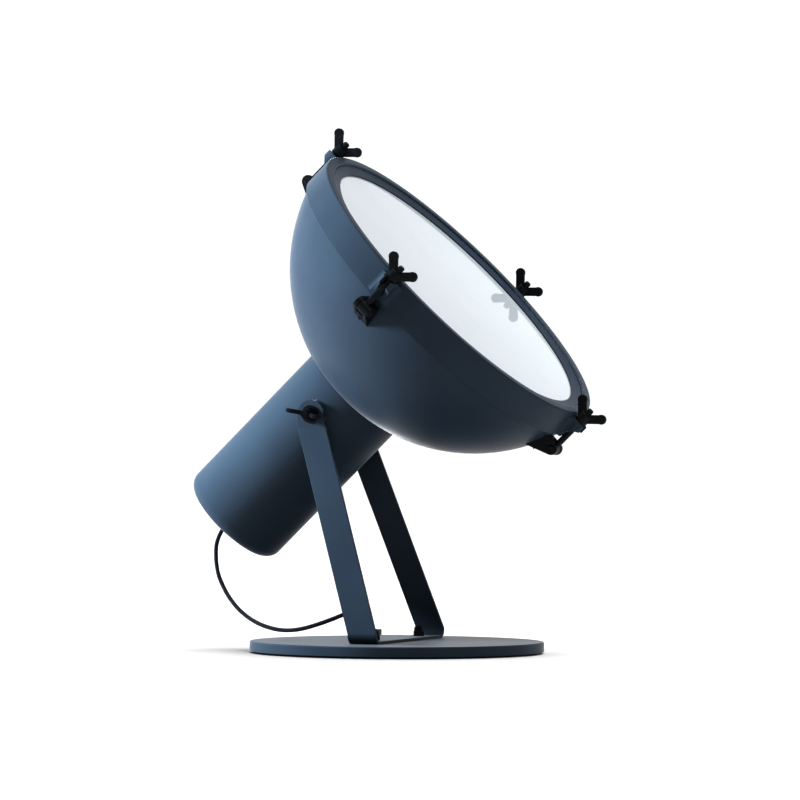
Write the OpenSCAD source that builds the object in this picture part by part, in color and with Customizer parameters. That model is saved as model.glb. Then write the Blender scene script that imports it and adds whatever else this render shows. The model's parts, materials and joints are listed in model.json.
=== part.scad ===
// Projector floor lamp: a spun head with a clamped front ring, tilting in a bent-bar yoke on a round base.
// Millimetres, +Z up. The origin is the centre of the base's underside, and +X is the way the lamp aims.

/* [Base] */
// Diameter of the base plate
base_d = 300; // [270:5:340]
// Thickness of the base plate
base_t = 10; // [8:1:14]
// Thickness of the pad under the plate
pad_t = 2; // [1:0.5:4]
// How far the pad is set in from the plate's edge
pad_inset = 8; // [4:1:20]
// Break on the plate's top edge
base_edge = 1; // [0.5:0.25:2]

/* [Yoke] */
// Width of the flat bar
bar_w = 29; // [25:0.5:33]
// Thickness of the flat bar
bar_t = 3; // [2.5:0.25:4]
// Outer radius of the bend at the foot
foot_bend_r = 10; // [8:0.5:13]
// Angle by which each arm draws in towards the head
splay = 10; // [7:0.5:11]
// Distance from the pivot down to the tab's bend
tab_drop = 14; // [13:0.5:18]
// Distance from the pivot down to where the tab's edges turn upright
tab_upright = 9; // [4:0.5:12]
// Distance of the foot bolts from the middle of the web
foot_bolt_y = 64; // [50:1:70]

/* [Pivot] */
// Pivot's place behind the base's middle
pivot_x = -71; // [-80:0.5:-60]
// Height of the pivot above the floor
pivot_z = 242.5; // [236:0.5:250]
// Elevation of the lamp's aim
aim = 44; // [35:1:60]
// Diameter of the pivot stud
stud_d = 8; // [6:0.5:9]
// Diameter of the flat pivot boss
boss_d = 30; // [26:1:34]
// How far the boss stands proud of the can
boss_proud = 0.5; // [0.25:0.25:1]
// Thickness of the friction washer
friction_t = 1.7; // [1:0.1:2.5]
// Thickness of the plain washer under the tilt nut
washer_t = 1.5; // [1:0.1:2]

/* [Rear housing] */
// Outer diameter of the can
housing_d = 116; // [110:1:122]
// Wall of the can
housing_wall = 2; // [1.5:0.25:3]
// Distance from the pivot to the back face
housing_back = 157; // [150:1:170]
// Radius of the rounded back edge
back_edge_r = 12; // [8:0.5:16]

/* [Bowl] */
// Distance from the pivot to the back of the bowl's sphere
bowl_back = 25.5; // [23:0.5:30]
// Gap between the bowl's rim and the ring's band
rim_gap = 1.2; // [0.8:0.1:2]
// Wall of the bowl
bowl_wall = 2; // [1.5:0.25:3]
// How much smaller than the can the bowl's opening is, on each side
neck_step = 14; // [13:0.25:16]

/* [Front ring] */
// Outer diameter of the ring
ring_d = 365; // [362:0.5:370]
// Wall of the ring's band
ring_wall = 2; // [1.5:0.25:2]
// Depth of the ring's band
ring_depth = 31; // [28:0.5:32]
// Distance from the pivot to the ring's front plane
ring_front = 191.5; // [190:0.5:194]
// Width of the front lip
lip_w = 11; // [9:0.5:13]
// Thickness of the front lip
lip_t = 4.5; // [4:0.25:6]
// Radius of the lip's outer edge
lip_r = 2; // [1.5:0.25:4]
// Radius of the lip's inner edge
lip_inner_r = 2; // [1:0.25:2.5]

/* [Glass] */
// Width of the bezel that shows inside the lip
bezel_w = 10.8; // [9:0.2:14]
// Thickness of the glass
glass_t = 6; // [4:0.5:8]
// Thickness of the flange at the back of the bezel
bezel_flange = 0.9; // [0.8:0.1:2]
// How far the bezel's outer edge lies behind the lip's front
bezel_drop = 2.4; // [1.5:0.1:3.5]
// Thickness of the gasket in front of the glass
gasket_t = 0.5; // [0.5:0.25:2]
// Depth of the retaining ring behind the glass
retainer_depth = 6.8; // [5:0.2:8]
// Thickness of the gasket on the bowl's rim
rim_gasket_t = 3; // [2:0.25:4]

/* [Clamps] */
// Distance of the bolt axes outside the ring
clamp_out = 7.5; // [7.25:0.25:9]
// Distance from the ring's front plane back to the hinge pins
pin_back = 43.5; // [42:0.5:46]
// Distance from the ring's front plane back to the nut seats
seat_back = 4.5; // [4.25:0.25:6]
// Diameter of the swing bolt
bolt_d = 6.4; // [5:0.2:7]
// How far the bolt stands out of the nut
bolt_proud = 6.5; // [3:0.5:9]
// Diameter of the bolt's eye
eye_d = 12; // [11:0.5:13]
// Width of the bolt's eye
eye_w = 10; // [8:0.5:11]
// Diameter of the hinge pin
pin_d = 5; // [4:0.25:6]
// Thickness of each clevis ear
clevis_ear = 4; // [3:0.25:5]
// Radius of the clevis ear's round end
clevis_r = 6.5; // [6:0.25:7.5]
// Width of the lug on the ring
lug_w = 18.5; // [17:0.5:22]
// Radius of the flares that run from the lug's sides into the band
lug_flare = 7; // [4:0.5:9]
// Length of the lug along the band
lug_len = 24; // [20:0.5:25]
// Width of the lug's slot
slot_w = 9; // [8:0.25:10]
// Diameter of the rivets that hold a clevis
rivet_d = 4; // [3:0.25:4.5]

/* [Wing nuts] */
// Diameter of the nut's hub at its seat
hub_d = 14; // [12:0.5:14]
// Height of the nut's hub
hub_h = 10; // [8:0.5:12]
// Distance from the nut's axis point to the middle of an ear's round end
ear_reach = 20; // [17:0.5:23]
// Width of an ear
ear_w = 9; // [6:0.5:9]
// Diameter of an ear's round end
ear_tip_d = 10; // [8:0.5:11]
// Thickness of an ear
ear_t = 4; // [3:0.25:5]
// Angle of an ear from the nut's axis
ear_angle = 45; // [40:1:52]
// Turn of the tilt nuts' ears from level
tilt_ear_turn = 13; // [-45:1:45]

/* [Cord] */
// Diameter of the mains lead
cord_d = 4.2; // [3.8:0.1:4.3]
// Inward turns of the coil's lower layer
coil_in_turns = 3; // [2:0.5:3]
// Outward turns of the coil's upper layer
coil_out_turns = 2.5; // [2:0.5:2.5]
// Radius of the coil's first turn
coil_r = 33; // [32:0.5:34]
// Gap between neighbouring turns
coil_gap = 0.5; // [0.45:0.05:0.7]

/* [Hidden] */
$fn = 96;

// Finishes
paint = "#3b4b66";
black_metal = "#17191c";
steel = "#8d9298";
rubber = "#202224";
white_part = "#e8e8e4";
glass_colour = "#eef1f2";
brass = "#b59a55";

// Clearances: a shaft that turns in its bore, a bolt in a plain hole, a seat on a curved face,
// and the gap between bodies that move past each other
run_fit = 0.05;
plain_fit = 0.2;
seat_fit = 0.05;
move_gap = 0.3;
// Overshoot of a cut past the faces that it opens
cut = 1;

// Base and yoke
base_top = pad_t + base_t;
lean_from = base_top + foot_bend_r;
arm_end_z = pivot_z - tab_upright;
lean = atan(-pivot_x / (arm_end_z - lean_from));
bar_level_w = bar_w / cos(lean);
arm_half_top = housing_d / 2 + boss_proud + friction_t + move_gap + bar_t / 2;
tab_bend_z = pivot_z - tab_drop;
foot_mid_r = foot_bend_r - bar_t / 2;
foot_bend_y = arm_half_top + ((tab_bend_z - lean_from) * sin(splay) - foot_mid_r) / cos(splay);

// Foot bolts
foot_bolt_d = 6;
foot_head_d = 11.5;
foot_head_h = 4.5;
cap_nut_flats = 10;
cap_nut_hex_h = 5;
cap_nut_dome_d = 9.5;
cap_nut_collar_h = 2;
cap_nut_bore = 9;

// Head sizes along its axis, counted from the pivot
housing_r = housing_d / 2;
ring_r = ring_d / 2;
ring_rear = ring_front - ring_depth;
rim_tuck = 1;
rim_from = ring_rear - rim_tuck;
band_in = ring_r - ring_wall;
rim_r = band_in - rim_gap;
bowl_depth = rim_from - bowl_back;
bowl_r = (rim_r * rim_r + bowl_depth * bowl_depth) / 2 / bowl_depth;
bowl_centre = bowl_back + bowl_r;
lip_in = ring_r - lip_w;
crease = 0.6;
bezel_front = ring_front - bezel_drop;
bezel_seat = ring_front - lip_t - move_gap;
bezel_rear = bezel_seat - bezel_flange;
bezel_lip = 0.8;
glass_front = bezel_rear - gasket_t;
glass_rear = glass_front - glass_t;
retainer_rear = glass_rear - retainer_depth;
rim_front = retainer_rear - rim_gasket_t;
view_r = lip_in - crease - bezel_w;
glass_under = 2.5;
glass_r = lip_in + glass_under;
gasket_back = 3;
retainer_wall = 4.3;
retainer_flange = 2;
retainer_reach = 14;

// Neck and inner pieces
neck_ring_out = housing_r - housing_wall - seat_fit;
neck_ring_wall = 10;
neck_hole_r = housing_r - neck_step;
neck_depth = 8.8;
neck_rear = bowl_centre - sqrt(bowl_r * bowl_r - neck_hole_r * neck_hole_r) - neck_depth;
neck_screw_d = 4;
neck_screw_head_d = 8;
neck_screw_head_h = 2.5;
neck_screw_deep = 9;
neck_screw_r = neck_hole_r + neck_screw_head_d / 2 + 1;
neck_screw_seat = head_seat(neck_screw_head_d);
plate_t = 3;
plate_r = neck_ring_out - 1.5;
plate_screw_d = 3;
plate_screw_head_d = 6;
plate_screw_head_h = 2;
plate_screw_deep = 6;
holder_d = 38;
holder_flange_d = 50;
holder_flange_t = 3;
holder_len = 50;
holder_ahead = 8;
holder_front = neck_rear + holder_ahead;
holder_rear = holder_front - holder_len;
socket_d = 27;
socket_deep = 25;
socket_floor = holder_front - socket_deep;
bulb_cap_d = 26;
bulb_cap_len = 29;
bulb_neck_z = socket_floor + bulb_cap_len;
bulb_neck_len = 44;
bulb_neck_top = bulb_neck_z + bulb_neck_len;
bulb_r = 30;
bulb_rise = 18;
bulb_centre = bulb_neck_top + bulb_rise;
block_size = [24, 16, 14];

// Pivot stack, outward from the can
boss_face = housing_r + boss_proud;
boss_depth = 8.5;
stud_head_d = 18;
stud_head_h = 3;
arm_outer = arm_half_top + bar_t / 2;
tilt_seat = arm_outer + washer_t + move_gap;
stud_tip = tilt_seat + hub_h + 5;
friction_d = boss_d - 2;
tilt_washer_d = 18;

// Cord gland on the back face
gland_flange_d = 18;
gland_flange_t = 1.5;
gland_taper = 3;
gland_root_d = 12;
gland_tip_d = cord_d + 2;
gland_thread_d = 10;
gland_inside = 17;
gland_nut_d = 16;
gland_nut_t = 4;
gland_tip = -(housing_back + gland_flange_t + gland_taper);

// Clamp stations around the head: top, near, bottom and far
STATION = [180, 270, 0, 90];
TOP = 0;
NEAR = 1;
BOTTOM = 2;
FAR = 3;
clamp_r = ring_r + clamp_out;
pin_z = ring_front - pin_back;
seat_z = ring_front - seat_back;
seat_r = seat_z - pin_z;
nut_z = seat_z + move_gap;
bolt_tip_z = nut_z + hub_h + bolt_proud;
bolt_chamfer = 1;
lug_out = clamp_r + lug_w / 2;
lug_back = seat_z - lug_len;
lug_root = 1.2;
lug_hollow_r = 17;
lug_hollow_out = 4.75;
clevis_gap = eye_w + 2 * 0.4;
clevis_w = clevis_gap + 2 * clevis_ear;
clevis_floor = clamp_r - eye_d / 2 - 1;
clevis_rear = pin_z - 18;
clevis_front = pin_z + 7;
clevis_rear_sink = 3.2;
clevis_front_sink = 9.5;
clevis_foot_rear = [ball_r(clevis_rear) - clevis_rear_sink, clevis_rear];
clevis_foot_front = [ball_r(clevis_front) - clevis_front_sink, clevis_front];
pin_head_d = pin_d + 2.5;
pin_head_h = 1.5;
rivet_head_d = 8;
rivet_head_h = 1.8;
rivet_deep = 6;
rivet_seat = head_seat(rivet_head_d);
rivet_angle = asin((bowl_centre - pin_z + 5) / bowl_r);
rivet_step = 2.2;
ear_root = 3;

// Cord route, as places on it: from the gland to the clip, and from the clip to the coil
LINK_ROUTE = [
    [-196, -0.5, 118.5], [-199, -2, 108], [-198.5, -4.5, 97.5], [-194, -10, 80], [-182.5, -19, 62.5],
    [-165.5, -32, 47], [-143.5, -47, 34.5], [-119, -63, 27], [-93, -78, 24], [-70, -88.5, 26],
    [-49, -93, 31.5], [-33, -90, 37.5], [-24, -85, 41.5]
];
clip_at = [-17, -79.5, 43];
TAIL_ROUTE = [
    [-12, -70, 43.5], [-11, -63, 42], [-14, -51, 37.5], [-20, -40.5, 27], [-25.5, -23, 21], [-35, -2, 15.6],
    [-44, 20, 14.4], [-54, 44, 14.3], [-72, 90, 14.3], [-85, 124, 14.3], [-88.5, 133.5, 12.9],
    [-92, 142.5, 8.7], [-95, 151, 4.6]
];
lead_straight = 5;
cord_sides = 8;
coil_sides = 6;
coil_rings = 24;
// The lead runs off behind the base in this direction, and the coil lies beside it there
run_off = 110.5;
coil_centre = [-69.3, 174.7];
coil_lift = 0.9;
coil_pitch = cord_d + coil_gap;
coil_z = coil_lift + cord_d / 2;
coil_turns = coil_in_turns + 0.5 + coil_out_turns;
coil_turn_back = coil_in_turns + 0.25;
tie_t = 0.6;
tie_w = 5;
tie_room = 0.4;
clip_len = 6;
clip_room = 0.35;
clip_ring_d = 7.5;
clip_neck = 3.5;
clip_foot = [9, 1.2, 22];
clip_foot_up = 6;
clip_screw_d = 3;
clip_screw_head_d = 6;
clip_screw_head_h = 2;
clip_screw_rise = 11.5;
plug_w = 35;
plug_h = 14;
plug_len = 34;
plug_neck_len = 12;
plug_tail_w = 15;
plug_edge = 3;
plug_gap = 38;
plug_pin_d = 4;
plug_pin_len = 19;
plug_root_d = 3.4;
plug_root_len = 10;
plug_pin_pitch = 18.6;

// Vector helpers
function unit(v) = v / norm(v);
function flat(a) = [cos(a), sin(a), 0];
function step(x) = x < 0 ? 0 : x > 1 ? 1 : x * x * (3 - 2 * x);
function tangent_point(p, c, r, side) =
    let (a = atan2(p[1] - c[1], p[0] - c[0]), open = acos(r / norm(p - c)))
    c + r * [cos(a + side * open), sin(a + side * open)];

// A smooth curve through the given places, with a number of steps between neighbours
function slope_at(p, i) =
    let (
        into = i > 0 ? p[i] - p[i - 1] : p[1] - p[0],
        out = i + 1 < len(p) ? p[i + 1] - p[i] : into,
        a = norm(into),
        b = norm(out)
    )
    (into / a * b + out / b * a) / (a + b);
function curve_at(p, i, t) =
    let (reach = norm(p[i + 1] - p[i]), t2 = t * t, t3 = t * t * t)
    p[i] * (2 * t3 - 3 * t2 + 1) + slope_at(p, i) * reach * (t3 - 2 * t2 + t)
    + p[i + 1] * (3 * t2 - 2 * t3) + slope_at(p, i + 1) * reach * (t3 - t2);
function curve(p, steps) = concat(
    [for (i = [0 : len(p) - 2]) for (j = [0 : steps - 1]) curve_at(p, i, j / steps)],
    [p[len(p) - 1]]
);

// Radius of the bowl at a place along the head's axis, and the seat of a flat head inside its wall
function ball_r(z) = sqrt(bowl_r * bowl_r - pow(bowl_centre - z, 2));
function head_seat(d) = sqrt(pow(bowl_r - bowl_wall, 2) - d * d / 4) - seat_fit;

// Directions and places in the lamp's frame of points given along the head's axis
head_axis = [cos(aim), 0, sin(aim)];
function on_axis(z) = [pivot_x, 0, pivot_z] + z * head_axis;
function arm_y(z) = arm_half_top + (tab_bend_z - z) * tan(splay);

// The coil spirals in, climbs a layer in the half turn where it reverses, and spirals out on top
function coil_radius(t) = coil_r - coil_pitch * (coil_turn_back - abs(t - coil_turn_back));
function coil_place(t) =
    let (a = run_off + 90 - 360 * t, r = coil_radius(t))
    [coil_centre[0], coil_centre[1], coil_z + coil_pitch * step((t - coil_in_turns) * 2)] + r * flat(a);
coil_points = [for (i = [0 : coil_turns * coil_rings]) coil_place(i / coil_rings)];
coil_start = coil_points[0];
coil_end = coil_points[len(coil_points) - 1];
along_run = flat(run_off);
plug_at = [coil_end[0], coil_end[1], plug_h / 2] + plug_gap * along_run;
lead_places = concat(
    [on_axis(gland_tip), on_axis(gland_tip - lead_straight)], LINK_ROUTE, [clip_at], TAIL_ROUTE,
    [coil_start - cord_d * along_run, coil_start]
);
lead_steps = 2;
lead_points = curve(lead_places, lead_steps);
clip_place = 2 + len(LINK_ROUTE);
clip_dir = unit(slope_at(lead_places, clip_place));
link_points = [for (i = [0 : clip_place * lead_steps]) lead_points[i]];
tail_points = [for (i = [clip_place * lead_steps : len(lead_points) - 1]) lead_points[i]];
plug_lead_points = curve(
    [coil_end, coil_end + cord_d * along_run, plug_at - cord_d * along_run, plug_at], 4);

// Least distance between turns that lie a quarter turn or more apart along the cord
function least_gap(p, apart) = min([
    for (i = [0 : len(p) - 1 - apart]) min([for (j = [i + apart : len(p) - 1]) norm(p[i] - p[j])])
]) - cord_d;
echo(coil_least_gap = least_gap(coil_points, coil_rings / 2));

// A round tube through a list of places, square to the given directions at its ends;
// up is any direction that no stretch runs along
module tube(p, d, sides, up, start, end) {
    n = len(p);
    dirs = [for (i = [0 : n - 1]) i == 0 ? start : i == n - 1 ? end : unit(p[i + 1] - p[i - 1])];
    across = [for (t = dirs) unit(cross(t, up))];
    above = [for (i = [0 : n - 1]) cross(across[i], dirs[i])];
    rim = [
        for (i = [0 : n - 1]) for (k = [0 : sides - 1])
            p[i] + d / 2 * (cos(360 * k / sides) * across[i] + sin(360 * k / sides) * above[i])
    ];
    walls = [
        for (i = [0 : n - 2]) for (k = [0 : sides - 1])
            let (a = i * sides + k, b = i * sides + (k + 1) % sides)
            each [[a, a + sides, b], [b, a + sides, b + sides]]
    ];
    first = [for (k = [1 : sides - 2]) [0, k, k + 1]];
    last = [for (k = [1 : sides - 2]) (n - 1) * sides * [1, 1, 1] + [0, k + 1, k]];
    polyhedron(rim, concat(walls, first, last));
}

// Frames
module in_head() {
    translate([pivot_x, 0, pivot_z])
        rotate([0, 90 - aim, 0])
            children();
}

module at_station(i) {
    in_head()
        rotate([0, 0, STATION[i]])
            children();
}

module both_sides() {
    children();
    mirror([0, 1, 0])
        children();
}

module from_bowl_centre(angle) {
    translate([0, 0, bowl_centre])
        rotate([0, 90 + angle, 0])
            children();
}

module across_clamp(h) {
    translate([clamp_r, 0, pin_z])
        rotate([90, 0, 0])
            linear_extrude(h, center = true)
                children();
}

module flat_ring(r_out, r_in, z_from, z_to) {
    translate([0, 0, z_from])
        difference() {
            cylinder(r = r_out, h = z_to - z_from);
            translate([0, 0, -cut])
                cylinder(r = r_in, h = z_to - z_from + 2 * cut);
        }
}

// Stand
module base_disc() color(paint) difference() {
    translate([0, 0, pad_t]) {
        cylinder(d = base_d, h = base_t - base_edge);
        translate([0, 0, base_t - base_edge])
            cylinder(d1 = base_d, d2 = base_d - 2 * base_edge, h = base_edge);
    }
    both_sides()
        translate([0, foot_bolt_y, 0]) {
            cylinder(d = foot_bolt_d + 2 * plain_fit, h = base_top + cut);
            cylinder(d = foot_head_d + 2 * plain_fit, h = pad_t + foot_head_h);
        }
}

module base_pad() color(rubber)
    cylinder(d = base_d - 2 * pad_inset, h = pad_t);

// Space within one face of the bent bar, seen along the lamp's aim: web, round foot bend, arm and tab.
// The offset counts from the middle of the bar's thickness, outward
module within_bar(offset, reach) {
    bend_r = foot_mid_r + offset;
    bend = [foot_bend_y, lean_from];
    top = pivot_z + bar_w + reach;
    tab_y = arm_half_top + offset;
    polygon([
        [-reach, lean_from - bend_r], [foot_bend_y, lean_from - bend_r],
        bend + bend_r * [cos(splay), sin(splay)],
        [tab_y, tab_bend_z + offset * tan(splay / 2)], [tab_y, top], [-reach, top]
    ]);
    translate(bend)
        circle(bend_r);
}

module bar_side() difference() {
    within_bar(bar_t / 2, cut);
    within_bar(-bar_t / 2, 2 * cut);
}

// The bar's outline seen from the side: upright at the foot, leaning back, then upright to a round end
module bar_front() {
    mitre = bar_w / 2 * [1, tan(lean / 2)];
    side = bar_w / 2 * [1, 0];
    arm_end = [pivot_x, arm_end_z];
    pivot = [pivot_x, pivot_z];
    polygon([
        [-bar_level_w / 2, base_top - cut], [bar_level_w / 2, base_top - cut], [bar_level_w / 2, lean_from],
        arm_end + mitre, pivot + side, pivot - side, arm_end - mitre, [-bar_level_w / 2, lean_from]
    ]);
    translate(pivot)
        circle(d = bar_w);
}

module yoke() color(paint) difference() {
    intersection() {
        both_sides()
            rotate([90, 0, 90])
                linear_extrude(4 * bar_w - 4 * pivot_x, center = true)
                    bar_side();
        rotate([90, 0, 0])
            linear_extrude(2 * base_d, center = true)
                bar_front();
    }
    translate([pivot_x, 0, pivot_z])
        rotate([90, 0, 0])
            cylinder(d = stud_d + 2 * run_fit, h = base_d, center = true);
    both_sides()
        translate([0, foot_bolt_y, base_top - cut])
            cylinder(d = foot_bolt_d + 2 * plain_fit, h = bar_t + 2 * cut);
}

module foot_bolts() color(black_metal)
    both_sides()
        translate([0, foot_bolt_y, pad_t]) {
            cylinder(d = foot_head_d, h = foot_head_h);
            cylinder(d = foot_bolt_d, h = base_t + bar_t + cap_nut_bore - cut);
        }

module foot_nuts() color(black_metal)
    both_sides()
        translate([0, foot_bolt_y, base_top + bar_t])
            difference() {
                union() {
                    cylinder(d = cap_nut_flats / cos(30), h = cap_nut_hex_h, $fn = 6);
                    cylinder(d = cap_nut_dome_d, h = cap_nut_hex_h + cap_nut_collar_h);
                    translate([0, 0, cap_nut_hex_h + cap_nut_collar_h])
                        sphere(d = cap_nut_dome_d);
                }
                translate([0, 0, -cut])
                    cylinder(d = foot_bolt_d + 2 * run_fit, h = cap_nut_bore + cut);
            }

module pivot_ring(d, from, to) {
    both_sides()
        translate([pivot_x, to, pivot_z])
            rotate([90, 0, 0])
                difference() {
                    cylinder(d = d, h = to - from);
                    translate([0, 0, -cut])
                        cylinder(d = stud_d + 2 * plain_fit, h = to - from + 2 * cut);
                }
}

module tilt_washers() color(black_metal)
    pivot_ring(tilt_washer_d, arm_outer, arm_outer + washer_t);

// Inner face of the near arm at the clip's height, with +Y away from the bar
module on_near_arm() {
    translate([clip_at[0], bar_t / 2 / cos(splay) - arm_y(clip_at[2]), clip_at[2]])
        rotate([-splay, 0, 0])
            children();
}

module cord_clip() color(rubber) difference() {
    union() {
        on_near_arm()
            translate([-clip_foot[0] / 2, 0, -clip_foot_up])
                difference() {
                    cube(clip_foot);
                    translate([clip_foot[0] / 2, -cut, clip_foot_up + clip_screw_rise])
                        rotate([-90, 0, 0])
                            cylinder(d = clip_screw_d + 2 * run_fit, h = clip_foot[1] + 2 * cut);
                }
        on_near_arm()
            translate([-clip_neck, 0, -clip_neck])
                cube([2 * clip_neck, arm_y(clip_at[2]) + clip_at[1] - clip_neck / 2, 2 * clip_neck]);
        translate(clip_at)
            along(clip_dir)
                cylinder(d = clip_ring_d, h = clip_len, center = true);
    }
    translate(clip_at)
        along(clip_dir)
            cylinder(d = cord_d + 2 * clip_room, h = 3 * clip_len, center = true);
}

module along(dir) {
    rotate([0, acos(dir[2]), atan2(dir[1], dir[0])])
        children();
}

module clip_screw() color(steel)
    on_near_arm()
        translate([0, clip_foot[1], clip_screw_rise])
            rotate([-90, 0, 0]) {
                cylinder(d = clip_screw_head_d, h = clip_screw_head_h);
                translate([0, 0, -clip_foot[1]])
                    cylinder(d = clip_screw_d, h = clip_foot[1]);
            }

// Head shells
module can_outline(inset) {
    straight = housing_back - back_edge_r;
    flat_r = housing_r - back_edge_r;
    translate([0, -straight])
        square([housing_r - inset, straight + ring_rear]);
    translate([0, inset - housing_back])
        square([flat_r, back_edge_r]);
    translate([flat_r, -straight])
        circle(back_edge_r - inset);
}

module rear_housing() color(paint) in_head() difference() {
    union() {
        rotate_extrude()
            difference() {
                can_outline(0);
                can_outline(housing_wall);
            }
        both_sides()
            translate([0, boss_face, 0])
                rotate([90, 0, 0])
                    cylinder(d = boss_d, h = boss_depth);
    }
    bowl_ball();
    rotate([90, 0, 0])
        cylinder(d = stud_d + 2 * plain_fit, h = 2 * boss_face + 2 * cut, center = true);
    translate([0, 0, -housing_back - cut])
        cylinder(d = gland_thread_d + 2 * plain_fit, h = housing_wall + 2 * cut);
}

module bowl_ball()
    translate([0, 0, bowl_centre])
        sphere(r = bowl_r + seat_fit, $fn = 240);

module bowl() color(paint) in_head() difference() {
    rotate_extrude() {
        intersection() {
            translate([0, bowl_centre])
                difference() {
                    circle(bowl_r);
                    circle(bowl_r - bowl_wall);
                }
            translate([neck_hole_r, 0])
                square([bowl_r, rim_from]);
        }
        translate([rim_r - bowl_wall, rim_from - bowl_wall / 4])
            square([bowl_wall, rim_front - rim_from + bowl_wall / 4]);
    }
    for (i = [TOP, NEAR, BOTTOM, FAR])
        rotate([0, 0, STATION[i]])
            rivet_places()
                wall_hole(rivet_d);
    neck_screw_places()
        wall_hole(neck_screw_d);
}

module wall_hole(d)
    translate([0, 0, bowl_r - 2 * bowl_wall])
        cylinder(d = d + 2 * run_fit, h = 3 * bowl_wall);

module neck_screw_places() {
    for (a = [45 : 90 : 315])
        rotate([0, 0, a])
            from_bowl_centre(acos(neck_screw_r / bowl_r))
                children();
}

module neck_ring() color(steel) in_head() difference() {
    flat_ring(neck_ring_out, neck_ring_out - neck_ring_wall, neck_rear, bowl_centre - bowl_r * cos(30));
    bowl_ball();
    neck_screw_places()
        translate([0, 0, bowl_r - bowl_wall])
            cylinder(d = neck_screw_d + 2 * run_fit, h = bowl_wall + neck_screw_deep + cut);
    plate_screw_places()
        translate([0, 0, -cut])
            cylinder(d = plate_screw_d + 2 * run_fit, h = plate_t + plate_screw_deep + 2 * cut);
}

module neck_screws() color(steel) in_head()
    neck_screw_places()
        translate([0, 0, neck_screw_seat]) {
            translate([0, 0, -neck_screw_head_h])
                cylinder(d = neck_screw_head_d, h = neck_screw_head_h);
            cylinder(d = neck_screw_d, h = bowl_wall + neck_screw_deep);
        }

// Front ring: a band with a rounded lip, and four forked lugs that take the swing bolts
module ring_section() {
    translate([band_in, ring_rear])
        square([ring_wall, ring_depth - lip_r]);
    translate([lip_in, ring_front - lip_t])
        square([lip_w, lip_t - lip_r]);
    translate([lip_in, ring_front - lip_t])
        square([lip_w - lip_r, lip_t - lip_inner_r]);
    translate([lip_in + lip_inner_r, ring_front - lip_t])
        square([lip_w - lip_r - lip_inner_r, lip_t]);
    translate([ring_r - lip_r, ring_front - lip_r])
        intersection() {
            circle(lip_r);
            translate([-lip_r, lip_r - lip_t])
                square([2 * lip_r, 2 * lip_t]);
        }
    translate([lip_in + lip_inner_r, ring_front - lip_inner_r])
        circle(lip_inner_r);
}

// A lug seen along the head's axis: a round end about the bolt, and flares that run out along the band
module lug_plan() {
    flare_y = lug_w / 2 + lug_flare;
    flare_x = sqrt(pow(ring_r + lug_flare, 2) - flare_y * flare_y);
    foot = ring_r / (ring_r + lug_flare) * [flare_x, flare_y];
    root_x = foot[0] - lug_root;
    difference() {
        polygon([
            [root_x, -foot[1]], [foot[0], -foot[1]], [flare_x, -flare_y],
            [flare_x, flare_y], foot, [root_x, foot[1]]
        ]);
        for (side = [-1, 1])
            translate([flare_x, side * flare_y])
                circle(lug_flare);
    }
    translate([flare_x - lug_root, -lug_w / 2])
        square([clamp_r - flare_x + lug_root, lug_w]);
    translate([clamp_r, 0])
        circle(d = lug_w);
}

// The same lug seen from its side: seat square to the bolt as it swings, hollow sweep at the back
module clamp_lug() difference() {
    intersection() {
        translate([0, 0, lug_back])
            linear_extrude(lug_len)
                lug_plan();
        rotate([90, 0, 0])
            linear_extrude(2 * ring_wall + 2 * lug_w + 2 * lug_flare, center = true)
                difference() {
                    translate([band_in - ring_wall, lug_back - cut])
                        square([lug_out, lug_len + 2 * cut]);
                    translate([lug_out + lug_hollow_out, lug_back])
                        circle(lug_hollow_r);
                }
        across_clamp(2 * lug_w + 4 * lug_flare)
            circle(seat_r);
    }
    translate([clamp_r, 0, lug_back - cut]) {
        cylinder(d = slot_w, h = lug_len + 2 * cut);
        translate([0, -slot_w / 2, 0])
            cube([lug_out, slot_w, lug_len + 2 * cut]);
    }
}

module front_ring() color(paint) in_head() {
    rotate_extrude()
        ring_section();
    for (a = STATION)
        rotate([0, 0, a])
            clamp_lug();
}

module glass_bezel() color(paint) in_head()
    rotate_extrude()
        polygon([
            [view_r, bezel_rear], [view_r, bezel_rear + bezel_lip], [lip_in - crease, bezel_front],
            [lip_in - crease, bezel_seat], [band_in - ring_wall, bezel_seat], [band_in - ring_wall, bezel_rear]
        ]);

module glass_gasket() color(rubber) in_head()
    flat_ring(glass_r + 2, view_r + gasket_back, glass_front, bezel_rear);

module front_glass() color(glass_colour) in_head()
    translate([0, 0, glass_rear])
        cylinder(r = glass_r, h = glass_t);

module glass_retainer() color(steel) in_head() {
    flat_ring(band_in - plain_fit, band_in - plain_fit - retainer_wall, retainer_rear, glass_rear);
    flat_ring(band_in - plain_fit, band_in - retainer_reach, glass_rear - retainer_flange, glass_rear);
}

module rim_gasket() color(rubber) in_head()
    flat_ring(band_in - plain_fit, band_in - plain_fit - retainer_wall, rim_front, retainer_rear);

// Swing-bolt clamps
module rivet_places() {
    for (side = [-1, 1])
        from_bowl_centre(rivet_angle + side * rivet_step)
            children();
}

module clevis(i) color(black_metal) at_station(i) difference() {
    rotate([90, 0, 0])
        linear_extrude(clevis_w, center = true) {
            pin = [clamp_r, pin_z];
            polygon([
                clevis_foot_rear, tangent_point(clevis_foot_rear, pin, clevis_r, 1), pin,
                tangent_point(clevis_foot_front, pin, clevis_r, -1), clevis_foot_front
            ]);
            translate(pin)
                circle(clevis_r);
        }
    translate([clevis_floor, -clevis_gap / 2, 0])
        cube([clamp_r, clevis_gap, ring_front]);
    bowl_ball();
    across_clamp(2 * clevis_w)
        circle(d = pin_d + 2 * run_fit);
    rivet_places()
        translate([0, 0, bowl_r - bowl_wall])
            cylinder(d = rivet_d + 2 * run_fit, h = bowl_wall + rivet_deep + cut);
}

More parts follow.
